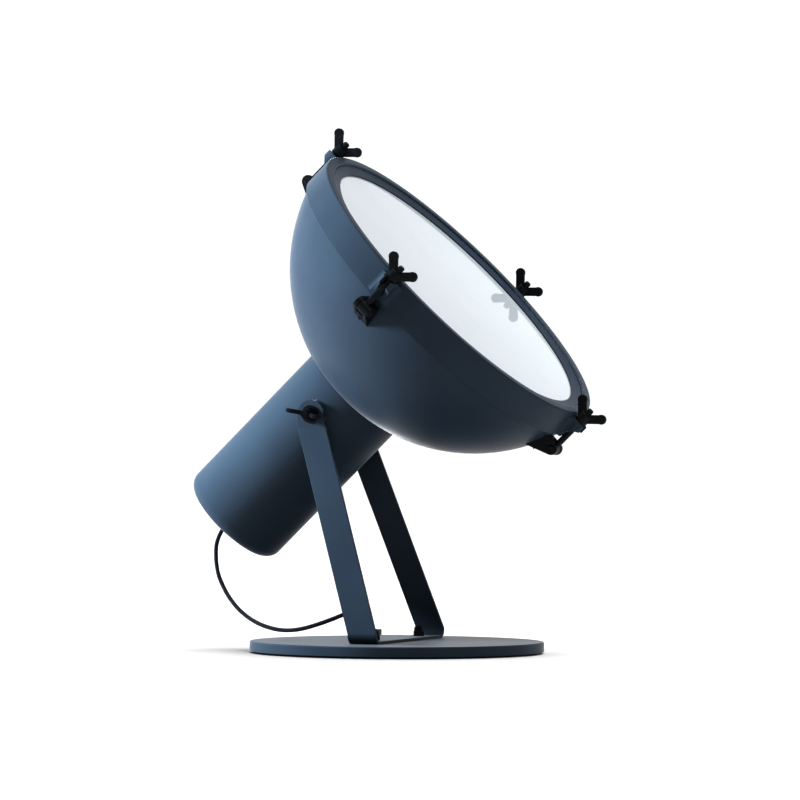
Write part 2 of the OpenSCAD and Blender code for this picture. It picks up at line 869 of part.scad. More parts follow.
module clevis_top() clevis(TOP);
module clevis_near() clevis(NEAR);
module clevis_bottom() clevis(BOTTOM);
module clevis_far() clevis(FAR);

module clevis_pins() color(black_metal)
    for (i = [TOP, NEAR, BOTTOM, FAR])
        at_station(i) {
            across_clamp(clevis_w)
                circle(d = pin_d);
            both_sides()
                translate([clamp_r, clevis_w / 2 + pin_head_h, pin_z])
                    rotate([90, 0, 0])
                        cylinder(d1 = pin_d, d2 = pin_head_d, h = pin_head_h);
        }

module clevis_rivets() color(black_metal)
    for (i = [TOP, NEAR, BOTTOM, FAR])
        at_station(i)
            rivet_places()
                translate([0, 0, rivet_seat]) {
                    translate([0, 0, -rivet_head_h])
                        cylinder(d = rivet_head_d, h = rivet_head_h);
                    cylinder(d = rivet_d, h = bowl_wall + rivet_deep);
                }

module swing_bolt(i) color(black_metal) at_station(i) difference() {
    union() {
        across_clamp(eye_w)
            circle(d = eye_d);
        translate([clamp_r, 0, pin_z])
            cylinder(d = bolt_d, h = bolt_tip_z - bolt_chamfer - pin_z);
        translate([clamp_r, 0, bolt_tip_z - bolt_chamfer])
            cylinder(d1 = bolt_d, d2 = bolt_d - 2 * bolt_chamfer, h = bolt_chamfer);
    }
    across_clamp(2 * eye_w)
        circle(d = pin_d + 2 * run_fit);
}

module swing_bolt_top() swing_bolt(TOP);
module swing_bolt_near() swing_bolt(NEAR);
module swing_bolt_bottom() swing_bolt(BOTTOM);
module swing_bolt_far() swing_bolt(FAR);

// A wing nut that stands on its seat: tapered hub and two round-ended ears in the XZ plane
module wing_nut(bore) color(black_metal) difference() {
    union() {
        cylinder(d1 = hub_d, d2 = hub_d - 3, h = hub_h);
        for (side = [-1, 1])
            translate([0, 0, ear_root])
                rotate([0, side * ear_angle, 0])
                    rotate([90, 0, 0])
                        linear_extrude(ear_t, center = true) {
                            translate([-ear_w / 2, 0])
                                square([ear_w, ear_reach]);
                            translate([0, ear_reach])
                                circle(d = ear_tip_d);
                        }
    }
    translate([0, 0, -hub_d])
        cylinder(d = hub_d * 2, h = hub_d);
    translate([0, 0, -cut])
        cylinder(d = bore + 2 * run_fit, h = ear_reach + ear_tip_d);
}

module clamp_nut(i) in_head()
    translate([clamp_r * cos(STATION[i]), clamp_r * sin(STATION[i]), nut_z])
        wing_nut(bolt_d);

module wing_nut_top() clamp_nut(TOP);
module wing_nut_near() clamp_nut(NEAR);
module wing_nut_bottom() clamp_nut(BOTTOM);
module wing_nut_far() clamp_nut(FAR);

// Tilt pivot
module pivot_studs() color(black_metal)
    both_sides()
        translate([pivot_x, boss_face - boss_depth - stud_head_h, pivot_z])
            rotate([-90, 0, 0]) {
                cylinder(d = stud_head_d, h = stud_head_h);
                cylinder(d = stud_d, h = stud_tip - boss_face + boss_depth + stud_head_h);
            }

module friction_washers() color(rubber)
    pivot_ring(friction_d, boss_face, boss_face + friction_t);

module tilt_nut()
    translate([pivot_x, -tilt_seat, pivot_z])
        rotate([0, tilt_ear_turn, 0])
            rotate([90, 0, 0])
                wing_nut(stud_d);

module tilt_nut_near() tilt_nut();
module tilt_nut_far() mirror([0, 1, 0]) tilt_nut();

// Electrics inside the head
module cord_gland() color(rubber) in_head()
    translate([0, 0, -housing_back]) {
        cylinder(d = gland_thread_d, h = gland_inside);
        translate([0, 0, -gland_flange_t])
            cylinder(d = gland_flange_d, h = gland_flange_t);
        translate([0, 0, -gland_flange_t - gland_taper])
            cylinder(d1 = gland_tip_d, d2 = gland_root_d, h = gland_taper);
    }

module gland_nut() color(rubber) in_head()
    flat_ring(gland_nut_d / 2, gland_thread_d / 2 + plain_fit,
        housing_wall - housing_back, housing_wall - housing_back + gland_nut_t);

module plate_screw_places() {
    for (a = [0 : 120 : 240])
        rotate([0, 0, a])
            translate([neck_ring_out - neck_ring_wall / 2, 0, neck_rear - plate_t])
                children();
}

module holder_plate() color(steel) in_head() difference() {
    flat_ring(plate_r, holder_d / 2 + plain_fit, neck_rear - plate_t, neck_rear);
    plate_screw_places()
        translate([0, 0, -cut])
            cylinder(d = plate_screw_d + 2 * run_fit, h = plate_t + 2 * cut);
}

module plate_screws() color(steel) in_head()
    plate_screw_places() {
        cylinder(d = plate_screw_d, h = plate_t + plate_screw_deep);
        translate([0, 0, -plate_screw_head_h])
            cylinder(d = plate_screw_head_d, h = plate_screw_head_h);
    }

module lamp_holder() color(white_part) in_head() difference() {
    union() {
        translate([0, 0, holder_rear])
            cylinder(d = holder_d, h = holder_front - holder_rear);
        translate([0, 0, neck_rear - plate_t - holder_flange_t])
            cylinder(d = holder_flange_d, h = holder_flange_t);
    }
    translate([0, 0, socket_floor])
        cylinder(d = socket_d, h = socket_deep + cut);
}

module terminal_block() color(white_part) in_head()
    translate([-block_size[0] / 2, -block_size[1] / 2, holder_rear - block_size[2]])
        cube(block_size);

module inner_lead() color(white_part) in_head()
    translate([0, 0, gland_inside - housing_back])
        cylinder(d = cord_d, h = holder_rear - block_size[2] - gland_inside + housing_back);

module bulb() color(glass_colour) in_head() {
    translate([0, 0, socket_floor])
        cylinder(d = bulb_cap_d, h = bulb_neck_z - socket_floor);
    translate([0, 0, bulb_neck_z])
        cylinder(r1 = bulb_cap_d / 2, r2 = sqrt(bulb_r * bulb_r - pow(bulb_centre - bulb_neck_top, 2)),
            h = bulb_neck_top - bulb_neck_z + cut);
    translate([0, 0, bulb_centre])
        sphere(r = bulb_r);
}

// Mains lead
module cord_link() color(rubber) tube(link_points, cord_d, cord_sides, [0, 1, 0], -head_axis, clip_dir);
module cord_tail() color(rubber) tube(tail_points, cord_d, cord_sides, [0, 0, 1], clip_dir, along_run);
module cord_coil() color(rubber) tube(coil_points, cord_d, coil_sides, [0, 0, 1], along_run, along_run);
module plug_lead() color(rubber) tube(plug_lead_points, cord_d, cord_sides, [0, 0, 1], along_run, along_run);

// A strap round the coil's turns, on the side away from the lead's entry
module coil_tie() color(rubber) {
    inner = coil_radius(coil_in_turns + 0.5) - cord_d / 2 - tie_room;
    outer = coil_radius(0.5) + cord_d / 2 + tie_room;
    low = coil_lift - tie_room / 2;
    high = coil_z + coil_pitch + cord_d / 2 + tie_room / 2;
    translate([coil_centre[0], coil_centre[1], 0])
        rotate([0, 0, run_off - 90])
            difference() {
                translate([inner - tie_t, -tie_w / 2, low - tie_t])
                    cube([outer - inner + 2 * tie_t, tie_w, high - low + 2 * tie_t]);
                translate([inner, -tie_w / 2 - cut, low])
                    cube([outer - inner, tie_w + 2 * cut, high - low]);
            }
}

module plug_frame() {
    translate(plug_at)
        rotate([0, 0, run_off])
            children();
}

// Two-pin plug body: a tapered neck that takes the lead, and a flat body widening to the pin face
module plug_outline() {
    half = plug_w / 2;
    tail = plug_tail_w / 2;
    polygon([
        [plug_neck_len, -tail], [plug_neck_len + plug_len * 0.55, -half], [plug_neck_len + plug_len, -half],
        [plug_neck_len + plug_len, half], [plug_neck_len + plug_len * 0.55, half], [plug_neck_len, tail]
    ]);
}

module mains_plug() color(rubber) plug_frame() difference() {
    union() {
        rotate([0, 90, 0])
            cylinder(d1 = cord_d + 2, d2 = plug_h - plug_edge, h = plug_neck_len);
        translate([0, 0, -plug_h / 2])
            linear_extrude(plug_h)
                plug_outline();
    }
    for (side = [-1, 1])
        translate([plug_neck_len + plug_len - cut, side * plug_pin_pitch / 2, 0])
            rotate([0, 90, 0])
                cylinder(d = plug_root_d + 2 * run_fit, h = 2 * cut);
}

module plug_pins() color(brass) plug_frame()
    for (side = [-1, 1])
        translate([plug_neck_len + plug_len - cut, side * plug_pin_pitch / 2, 0])
            rotate([0, 90, 0]) {
                cylinder(d = plug_root_d, h = cut + plug_root_len);
                translate([0, 0, cut + plug_root_len])
                    cylinder(d = plug_pin_d, h = plug_pin_len - plug_root_len);
            }

base_disc();
base_pad();
yoke();
foot_bolts();
foot_nuts();
tilt_washers();
cord_clip();
clip_screw();
rear_housing();
bowl();
neck_ring();
neck_screws();
front_ring();
glass_bezel();
glass_gasket();
front_glass();
glass_retainer();
rim_gasket();
clevis_top();
clevis_near();
clevis_bottom();
clevis_far();
clevis_pins();
clevis_rivets();
pivot_studs();
friction_washers();
cord_gland();
gland_nut();
holder_plate();
plate_screws();
lamp_holder();
terminal_block();
inner_lead();
bulb();
swing_bolt_top();
swing_bolt_near();
swing_bolt_bottom();
swing_bolt_far();
wing_nut_top();
wing_nut_near();
wing_nut_bottom();
wing_nut_far();
tilt_nut_near();
tilt_nut_far();
cord_link();
cord_tail();
cord_coil();
coil_tie();
plug_lead();
mains_plug();
plug_pins();
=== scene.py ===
import json
import math

import bmesh
import bpy
from mathutils import Matrix, Vector


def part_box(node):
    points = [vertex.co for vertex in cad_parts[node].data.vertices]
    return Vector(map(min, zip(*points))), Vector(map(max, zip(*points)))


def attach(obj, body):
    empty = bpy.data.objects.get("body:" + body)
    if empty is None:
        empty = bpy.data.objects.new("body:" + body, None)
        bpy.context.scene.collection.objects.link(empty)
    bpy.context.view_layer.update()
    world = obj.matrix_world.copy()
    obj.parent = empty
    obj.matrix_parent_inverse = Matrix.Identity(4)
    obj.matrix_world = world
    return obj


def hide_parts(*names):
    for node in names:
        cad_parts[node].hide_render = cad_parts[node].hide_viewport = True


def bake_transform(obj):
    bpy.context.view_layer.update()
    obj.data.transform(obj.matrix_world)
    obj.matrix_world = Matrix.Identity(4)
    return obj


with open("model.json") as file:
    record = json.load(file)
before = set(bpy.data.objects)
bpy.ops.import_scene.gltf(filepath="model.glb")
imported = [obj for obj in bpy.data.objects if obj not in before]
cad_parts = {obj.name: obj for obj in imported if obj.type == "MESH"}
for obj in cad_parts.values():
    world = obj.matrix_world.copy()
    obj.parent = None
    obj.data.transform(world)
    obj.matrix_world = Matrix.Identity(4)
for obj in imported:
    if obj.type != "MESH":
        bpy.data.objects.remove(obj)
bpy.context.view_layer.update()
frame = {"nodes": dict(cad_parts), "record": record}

nodes = frame["nodes"]
record = frame["record"]
scene = bpy.context.scene

# Lengths are in metres. MM turns a size in millimetres into one.
MM = 0.001

# The head's place and aim, as in the solids
AIM = math.radians(44)
PIVOT = Vector((-0.071, 0, 0.2425))
HEAD_AXIS = Vector((math.cos(AIM), 0, math.sin(AIM)))
GLAND_TIP = -0.1615

# Camera: a long lens from the near side and a little to the front, 0.2 m above the floor
CAMERA_AT = (1.57756, -4.20215, 0.19482)
CAMERA_RIGHT = Vector((0.9364, 0.3510, 0.0046))
CAMERA_UP = Vector((0.0006, -0.0147, 0.9999))
CAMERA_AHEAD = Vector((-0.3510, 0.9363, 0.0140))
SENSOR_WIDTH_MM = 36
FOCAL_LENGTH_MM = 198.1
FARTHEST_SEEN = 30


def place_camera():
    camera = bpy.data.objects.new("camera", bpy.data.cameras.new("camera"))
    camera.data.sensor_width = SENSOR_WIDTH_MM
    camera.data.lens = FOCAL_LENGTH_MM
    camera.data.clip_end = FARTHEST_SEEN
    turn = Matrix((CAMERA_RIGHT, CAMERA_UP, -CAMERA_AHEAD)).transposed().to_4x4()
    camera.matrix_world = Matrix.Translation(CAMERA_AT) @ turn
    scene.collection.objects.link(camera)
    scene.camera = camera


place_camera()

# Castings and mouldings: the solids of nuts and plug, with edges and inner corners rounded as in a mould
BODY_OF = {name: body for body, names in record["behaviour"]["bodies"].items() for name in names}
SLOT_OF = {part["node"]: part["material_slot"] for part in record["subparts"]}
NUTS = (
    "wing_nut_top", "wing_nut_near", "wing_nut_bottom", "wing_nut_far", "tilt_nut_near", "tilt_nut_far",
)
NUT_GRID = 0.0006
NUT_PASSES = 4
PLUG_GRID = 0.0008
PLUG_PASSES = 6
SMOOTHING = 0.5
FACES_KEPT = 0.4


def rounded_casting(name, grid, passes):
    piece = bpy.data.objects.new("cast_" + name, nodes[name].data.copy())
    scene.collection.objects.link(piece)
    remesh = piece.modifiers.new("grid", "REMESH")
    remesh.mode = "VOXEL"
    remesh.voxel_size = grid
    smooth = piece.modifiers.new("mould_radius", "SMOOTH")
    smooth.factor = SMOOTHING
    smooth.iterations = passes
    piece.modifiers.new("fewer_faces", "DECIMATE").ratio = FACES_KEPT
    settled = piece.evaluated_get(bpy.context.evaluated_depsgraph_get())
    mesh = bpy.data.meshes.new_from_object(settled)
    low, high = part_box(name)
    for vertex in mesh.vertices:
        vertex.co = [min(max(at, least), most) for at, least, most in zip(vertex.co, low, high)]
    piece.modifiers.clear()
    piece.data = mesh
    mesh.shade_smooth()
    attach(piece, BODY_OF[name])
    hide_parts(name)
    return piece


castings = {name: rounded_casting(name, NUT_GRID, NUT_PASSES) for name in NUTS}
castings["mains_plug"] = rounded_casting("mains_plug", PLUG_GRID, PLUG_PASSES)

# Mains lead: the route's places repeat those of the solids, in millimetres. It drops from the gland to a clip
# on the near arm, and then runs over the base and off its back edge to the coil and the plug.
CORD_D = 0.0042
STRAIGHT_OUT = 0.005
DROP_ROUTE = [
    (-196, -0.5, 118.5), (-199, -2, 108), (-198.5, -4.5, 97.5), (-194, -10, 80), (-182.5, -19, 62.5),
    (-165.5, -32, 47), (-143.5, -47, 34.5), (-119, -63, 27), (-93, -78, 24), (-70, -88.5, 26),
    (-49, -93, 31.5), (-33, -90, 37.5), (-24, -85, 41.5),
]
CLIP_AT = (-17, -79.5, 43)
RUN_ROUTE = [
    (-12, -70, 43.5), (-11, -63, 42), (-14, -51, 37.5), (-20, -40.5, 27), (-25.5, -23, 21),
    (-35, -2, 15.6), (-44, 20, 14.4), (-54, 44, 14.3), (-72, 90, 14.3), (-85, 124, 14.3),
    (-88.5, 133.5, 12.9), (-92, 142.5, 8.7), (-95, 151, 4.6),
]
RUN_OFF = math.radians(110.5)
ALONG_RUN = Vector((math.cos(RUN_OFF), math.sin(RUN_OFF), 0))
COIL_CENTRE = Vector((-0.0693, 0.1747, 0))
COIL_R = 0.033
COIL_PITCH = 0.0047
COIL_Z = 0.003
COIL_TURNS = 6
COIL_TURN_BACK = 3.25
CLIMB_FROM_TURN = 3
CLIMB_TURNS = 0.5
PLUG_GAP = 0.038
PLUG_Z = 0.007
ROUTE_STEPS = 8
COIL_STEPS = 40
PLUG_STEPS = 6
TUBE_SIDES = 12


# A place's slope, weighed by the distances to the places on either side
def slope_at(places, i):
    here = places[i]
    before = places[i - 1] if i else 2 * here - places[1]
    after = places[i + 1] if i + 1 < len(places) else 2 * here - places[i - 1]
    into, out = here - before, after - here
    a, b = into.length, out.length
    return (into / a * b + out / b * a) / (a + b)


def smooth_route(places, steps):
    points = []
    for i in range(len(places) - 1):
        b, c = places[i], places[i + 1]
        reach = (c - b).length
        start, end = slope_at(places, i) * reach, slope_at(places, i + 1) * reach
        for j in range(steps):
            t = j / steps
            points.append(
                b * (2 * t**3 - 3 * t * t + 1) + start * (t**3 - 2 * t * t + t)
                + c * (3 * t * t - 2 * t**3) + end * (t**3 - t * t)
            )
    return points + [places[-1]]


# The coil winds inward on the floor, climbs onto itself within half a turn and winds outward again
def coil_place(turn):
    angle = RUN_OFF + math.pi / 2 - 2 * math.pi * turn
    r = COIL_R - COIL_PITCH * (COIL_TURN_BACK - abs(turn - COIL_TURN_BACK))
    climb = min(max((turn - CLIMB_FROM_TURN) / CLIMB_TURNS, 0), 1)
    z = COIL_Z + COIL_PITCH * climb * climb * (3 - 2 * climb)
    return COIL_CENTRE + Vector((r * math.cos(angle), r * math.sin(angle), z))


def lead_route(gland):
    metres = [Vector(p) / 1000 for p in DROP_ROUTE + [CLIP_AT] + RUN_ROUTE]
    coil = [coil_place(i / COIL_STEPS) for i in range(COIL_TURNS * COIL_STEPS + 1)]
    plug_at = Vector((coil[-1].x, coil[-1].y, PLUG_Z)) + PLUG_GAP * ALONG_RUN
    straight = CORD_D * ALONG_RUN
    before_coil = smooth_route(gland + metres + [coil[0] - straight, coil[0]], ROUTE_STEPS)
    to_plug = smooth_route([coil[-1], coil[-1] + straight, plug_at - straight, plug_at], PLUG_STEPS)
    return before_coil + coil[1:] + to_plug[1:]


# A closed tube round the points. Its map "along" has the metres run and the share of the way round.
def round_tube(name, points):
    mesh = bpy.data.meshes.new(name)
    shape = bmesh.new()
    uv = shape.loops.layers.uv.new("along")
    last = len(points) - 1
    ahead = [
        (points[min(i + 1, last)] - points[max(i - 1, 0)]).normalized()
        for i in range(len(points))
    ]
    side = ahead[0].cross(Vector((0, 1, 0))).normalized()
    rings, run, runs = [], 0.0, []
    for i, p in enumerate(points):
        side = (side - side.dot(ahead[i]) * ahead[i]).normalized()
        above = side.cross(ahead[i])
        run += (p - points[i - 1]).length if i else 0
        runs.append(run)
        rings.append([
            shape.verts.new(p + CORD_D / 2 * (math.cos(a) * side + math.sin(a) * above))
            for a in (2 * math.pi * k / TUBE_SIDES for k in range(TUBE_SIDES))
        ])
    for i in range(last):
        for k in range(TUBE_SIDES):
            n = (k + 1) % TUBE_SIDES
            face = shape.faces.new((rings[i][k], rings[i][n], rings[i + 1][n], rings[i + 1][k]))
            face.smooth = True
            for loop, place in zip(face.loops, ((i, k), (i, k + 1), (i + 1, k + 1), (i + 1, k))):
                loop[uv].uv = (runs[place[0]], place[1] / TUBE_SIDES)
    shape.faces.new(rings[0][::-1])
    shape.faces.new(rings[-1])
    bmesh.ops.recalc_face_normals(shape, faces=shape.faces)
    shape.to_mesh(mesh)
    shape.free()
    piece = bpy.data.objects.new(name, mesh)
    scene.collection.objects.link(piece)
    return piece


# The clip holds the lead, so it is two pieces that meet in the clip: the drop from the gland, which rides on
# no body, and the run, which stays with the stand
gland_points = [PIVOT + HEAD_AXIS * z for z in (GLAND_TIP, GLAND_TIP - STRAIGHT_OUT)]
lead_points = lead_route(gland_points)
clip_index = ROUTE_STEPS * (len(gland_points) + len(DROP_ROUTE))
drop_points = lead_points[: clip_index + 1]
drop = round_tube("mains_lead_drop", drop_points)
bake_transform(drop)
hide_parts("cord_link")
run_points = lead_points[clip_index:]
lead = round_tube("mains_lead", run_points)
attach(lead, "stand")
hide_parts("cord_tail", "cord_coil", "plug_lead")


# Materials: colours are sRGB hex values, and a pattern's scale is one over its size
def linear(hex_colour):
    channels = [int(hex_colour[i : i + 2], 16) / 255 for i in (1, 3, 5)]
    return [c / 12.92 if c <= 0.04045 else ((c + 0.055) / 1.055) ** 2.4 for c in channels] + [1]


def put(tree, kind, inputs=(), **settings):
    node = tree.nodes.new("ShaderNode" + kind)
    for name, value in settings.items():
        setattr(node, name, value)
    for name, value in dict(inputs).items():
        if isinstance(value, bpy.types.NodeSocket):
            tree.links.new(value, node.inputs[name])
        else:
            node.inputs[name].default_value = value
    return node


def start_material(name):
    material = bpy.data.materials.new(name)
    material.use_nodes = True
    material.node_tree.nodes.clear()
    return material, material.node_tree


# Where a coat thins over an edge: a mask broken up by the coat's own grain, and the edge's rounded normal
def worn_edges(tree, radius, grain):
    rounded = put(tree, "Bevel", {"Radius": radius}, samples=6).outputs["Normal"]
    true_normal = put(tree, "NewGeometry").outputs["Normal"]
    turn = put(tree, "VectorMath", {0: rounded, 1: true_normal}, operation="DOT_PRODUCT").outputs["Value"]
    near_edge = put(tree, "MapRange", {"Value": turn, "From Min": 0.985, "From Max": 0.85})
    patchy = put(
        tree, "MapRange",
        {"Value": grain, "From Min": 0.4, "From Max": 0.7, "To Min": 0.15, "To Max": 0.6},
    )
    mask = put(
        tree, "Math", {0: near_edge.outputs["Result"], 1: patchy.outputs["Result"]}, operation="MULTIPLY",
    )
    return mask.outputs["Value"], rounded


# Stove-enamelled sheet: a matt baked coat, with a faint orange-peel skin that softens every highlight
def matt_stove_enamel():
    material, tree = start_material("matt_stove_enamel")
    at = put(tree, "TexCoord").outputs["Object"]
    cloud = put(tree, "TexNoise", {"Vector": at, "Scale": 1 / (90 * MM), "Detail": 3, "Roughness": 0.5})
    shade = put(tree, "MapRange", {"Value": cloud.outputs["Fac"], "From Min": 0.3, "From Max": 0.7})
    colour = put(
        tree, "Mix", {"Factor": shade.outputs["Result"], "A": linear("#26303c"), "B": linear("#2a3641")},
        data_type="RGBA",
    )
    # Grain of about 0.8 mm, drawn at 2 mm so that it shows
    grain = put(tree, "TexNoise", {"Vector": at, "Scale": 1 / (2 * MM), "Detail": 4, "Roughness": 0.6})
    edge, rounded = worn_edges(tree, 0.9 * MM, grain.outputs["Fac"])
    thinned = put(
        tree, "Mix", {"Factor": edge, "A": colour.outputs["Result"], "B": linear("#3d4955")},
        data_type="RGBA",
    )
    rough = put(tree, "MapRange", {"Value": grain.outputs["Fac"], "To Min": 0.4, "To Max": 0.52})
    skin = put(
        tree, "Bump",
        {"Height": grain.outputs["Fac"], "Strength": 0.12, "Distance": 0.4 * MM, "Normal": rounded},
    )
    surface = put(tree, "BsdfPrincipled", {
        "Base Color": thinned.outputs["Result"], "Roughness": rough.outputs["Result"],
        "Normal": skin.outputs["Normal"], "IOR": 1.5, "Specular IOR Level": 0.1,
        "Sheen Weight": 0.35, "Sheen Roughness": 0.18,
    })
    put(tree, "OutputMaterial", {"Surface": surface.outputs["BSDF"]})
    return material


# Black-lacquered cast hardware: a thin satin coat over a slightly pitted casting, rubbed in patches
def black_lacquered_iron():
    material, tree = start_material("black_lacquered_iron")
    at = put(tree, "TexCoord").outputs["Object"]
    # Pits of about 0.5 mm, drawn at 1.6 mm so that they show
    pits = put(tree, "TexNoise", {"Vector": at, "Scale": 1 / (1.6 * MM), "Detail": 5, "Roughness": 0.65})
    rough = put(tree, "MapRange", {"Value": pits.outputs["Fac"], "To Min": 0.32, "To Max": 0.58})
    rubs = put(tree, "TexNoise", {"Vector": at, "Scale": 1 / (7 * MM), "Detail": 6, "Roughness": 0.7})
    rubbed = put(tree, "MapRange", {"Value": rubs.outputs["Fac"], "From Min": 0.5, "From Max": 0.8})
    colour = put(
        tree, "Mix", {"Factor": rubbed.outputs["Result"], "A": linear("#0c1014"), "B": linear("#151a20")},
        data_type="RGBA",
    )
    edge, rounded = worn_edges(tree, 0.6 * MM, pits.outputs["Fac"])
    bared = put(
        tree, "Mix", {"Factor": edge, "A": colour.outputs["Result"], "B": linear("#2c3136")},
        data_type="RGBA",
    )
    skin = put(
        tree, "Bump",
        {"Height": pits.outputs["Fac"], "Strength": 0.25, "Distance": 0.4 * MM, "Normal": rounded},
    )
    surface = put(tree, "BsdfPrincipled", {
        "Base Color": bared.outputs["Result"], "Roughness": rough.outputs["Result"],
        "Normal": skin.outputs["Normal"], "IOR": 1.5, "Specular IOR Level": 0.12,
    })
    put(tree, "OutputMaterial", {"Surface": surface.outputs["BSDF"]})
    return material


# Zinc-plated steel: bright grey, clouded where the plating is thicker
def zinc_plated_steel():
    material, tree = start_material("zinc_plated_steel")
    at = put(tree, "TexCoord").outputs["Object"]
    cloud = put(tree, "TexNoise", {"Vector": at, "Scale": 1 / (4 * MM), "Detail": 4})
    colour = put(
        tree, "Mix", {"Factor": cloud.outputs["Fac"], "A": linear("#9a9fa5"), "B": linear("#c3c7ca")},
        data_type="RGBA",
    )
    rough = put(tree, "MapRange", {"Value": cloud.outputs["Fac"], "To Min": 0.25, "To Max": 0.45})
    surface = put(tree, "BsdfPrincipled", {
        "Base Color": colour.outputs["Result"], "Roughness": rough.outputs["Result"], "Metallic": 1,
    })
    put(tree, "OutputMaterial", {"Surface": surface.outputs["BSDF"]})
    return material


# Moulded rubber: nearly black, dusty grey where it has been handled
def moulded_rubber():
    material, tree = start_material("moulded_rubber")
    at = put(tree, "TexCoord").outputs["Object"]
    dust = put(tree, "TexNoise", {"Vector": at, "Scale": 1 / (6 * MM), "Detail": 6, "Roughness": 0.65})
    colour = put(
        tree, "Mix", {"Factor": dust.outputs["Fac"], "A": linear("#151617"), "B": linear("#2a2b2c")},
        data_type="RGBA",
    )
    rough = put(tree, "MapRange", {"Value": dust.outputs["Fac"], "To Min": 0.6, "To Max": 0.85})
    skin = put(tree, "Bump", {"Height": dust.outputs["Fac"], "Strength": 0.15, "Distance": 0.3 * MM})
    surface = put(tree, "BsdfPrincipled", {
        "Base Color": colour.outputs["Result"], "Roughness": rough.outputs["Result"],
        "Normal": skin.outputs["Normal"], "IOR": 1.52, "Specular IOR Level": 0.35,
    })
    put(tree, "OutputMaterial", {"Surface": surface.outputs["BSDF"]})
    return material


# Extruded PVC sheath: smooth and dull, with faint die lines along it and a slight bloom
def extruded_pvc_sheath():
    material, tree = start_material("extruded_pvc_sheath")
    along = put(tree, "UVMap", uv_map="along").outputs["UV"]
    parts = put(tree, "SeparateXYZ", {"Vector": along})
    # Some 22 die lines round the sheath, about 0.6 mm apart
    lines = put(
        tree, "TexNoise", {"W": parts.outputs["Y"], "Scale": 22, "Detail": 2}, noise_dimensions="1D",
    )
    at = put(tree, "TexCoord").outputs["Object"]
    bloom = put(tree, "TexNoise", {"Vector": at, "Scale": 1 / (12 * MM), "Detail": 5})
    colour = put(
        tree, "Mix", {"Factor": bloom.outputs["Fac"], "A": linear("#0b0d10"), "B": linear("#191c21")},
        data_type="RGBA",
    )
    rough = put(tree, "MapRange", {"Value": bloom.outputs["Fac"], "To Min": 0.42, "To Max": 0.62})
    skin = put(tree, "Bump", {"Height": lines.outputs["Fac"], "Strength": 0.2, "Distance": 0.2 * MM})
    surface = put(tree, "BsdfPrincipled", {
        "Base Color": colour.outputs["Result"], "Roughness": rough.outputs["Result"],
        "Normal": skin.outputs["Normal"], "IOR": 1.53, "Specular IOR Level": 0.12,
    })
    put(tree, "OutputMaterial", {"Surface": surface.outputs["BSDF"]})
    return material


# Moulded thermoplastic: a soft sheen over a fine spark-eroded texture, drawn at 0.9 mm so that it shows
def moulded_thermoplastic(name, dark, light):
    material, tree = start_material(name)
    at = put(tree, "TexCoord").outputs["Object"]
    spark = put(tree, "TexVoronoi", {"Vector": at, "Scale": 1 / (0.9 * MM)})
    cloud = put(tree, "TexNoise", {"Vector": at, "Scale": 1 / (10 * MM), "Detail": 4})
    colour = put(
        tree, "Mix", {"Factor": cloud.outputs["Fac"], "A": linear(dark), "B": linear(light)},
        data_type="RGBA",
    )
    rough = put(tree, "MapRange", {"Value": cloud.outputs["Fac"], "To Min": 0.42, "To Max": 0.58})
    skin = put(tree, "Bump", {"Height": spark.outputs["Distance"], "Strength": 0.15, "Distance": 0.2 * MM})
    surface = put(tree, "BsdfPrincipled", {
        "Base Color": colour.outputs["Result"], "Roughness": rough.outputs["Result"],
        "Normal": skin.outputs["Normal"], "IOR": 1.54,
    })
    put(tree, "OutputMaterial", {"Surface": surface.outputs["BSDF"]})
    return material


# Toughened glass etched on its back: a polished front face over a milky body with a faint haze
def etched_front_glass():
    material, tree = start_material("etched_front_glass")
    at = put(tree, "TexCoord").outputs["Object"]
    haze = put(tree, "TexNoise", {"Vector": at, "Scale": 1 / (70 * MM), "Detail": 3})
    colour = put(
        tree, "Mix", {"Factor": haze.outputs["Fac"], "A": linear("#9ba6a6"), "B": linear("#a6a8b1")},
        data_type="RGBA",
    )
    rough = put(tree, "MapRange", {"Value": haze.outputs["Fac"], "To Min": 0.03, "To Max": 0.06})
    surface = put(tree, "BsdfPrincipled", {
        "Base Color": colour.outputs["Result"], "Roughness": rough.outputs["Result"], "IOR": 1.52,
    })
    put(tree, "OutputMaterial", {"Surface": surface.outputs["BSDF"]})
    return material


# Turned brass: yellow and bright, dulled in small patches by handling
def turned_brass():
    material, tree = start_material("turned_brass")
    at = put(tree, "TexCoord").outputs["Object"]
    tarnish = put(tree, "TexNoise", {"Vector": at, "Scale": 1 / (3 * MM), "Detail": 5})
    colour = put(
        tree, "Mix", {"Factor": tarnish.outputs["Fac"], "A": linear("#9a7d3c"), "B": linear("#cdb06a")},
        data_type="RGBA",
    )
    rough = put(tree, "MapRange", {"Value": tarnish.outputs["Fac"], "To Min": 0.2, "To Max": 0.4})
    surface = put(tree, "BsdfPrincipled", {
        "Base Color": colour.outputs["Result"], "Roughness": rough.outputs["Result"], "Metallic": 1,
    })
    put(tree, "OutputMaterial", {"Surface": surface.outputs["BSDF"]})
    return material


# Painted studio floor: an even pale grey without gloss
def pale_floor_paint():
    material, tree = start_material("pale_floor_paint")
    surface = put(tree, "BsdfPrincipled", {
        "Base Color": linear("#e1e1e1"), "Roughness": 0.9, "Specular IOR Level": 0.1,
    })
    put(tree, "OutputMaterial", {"Surface": surface.outputs["BSDF"]})
    return material


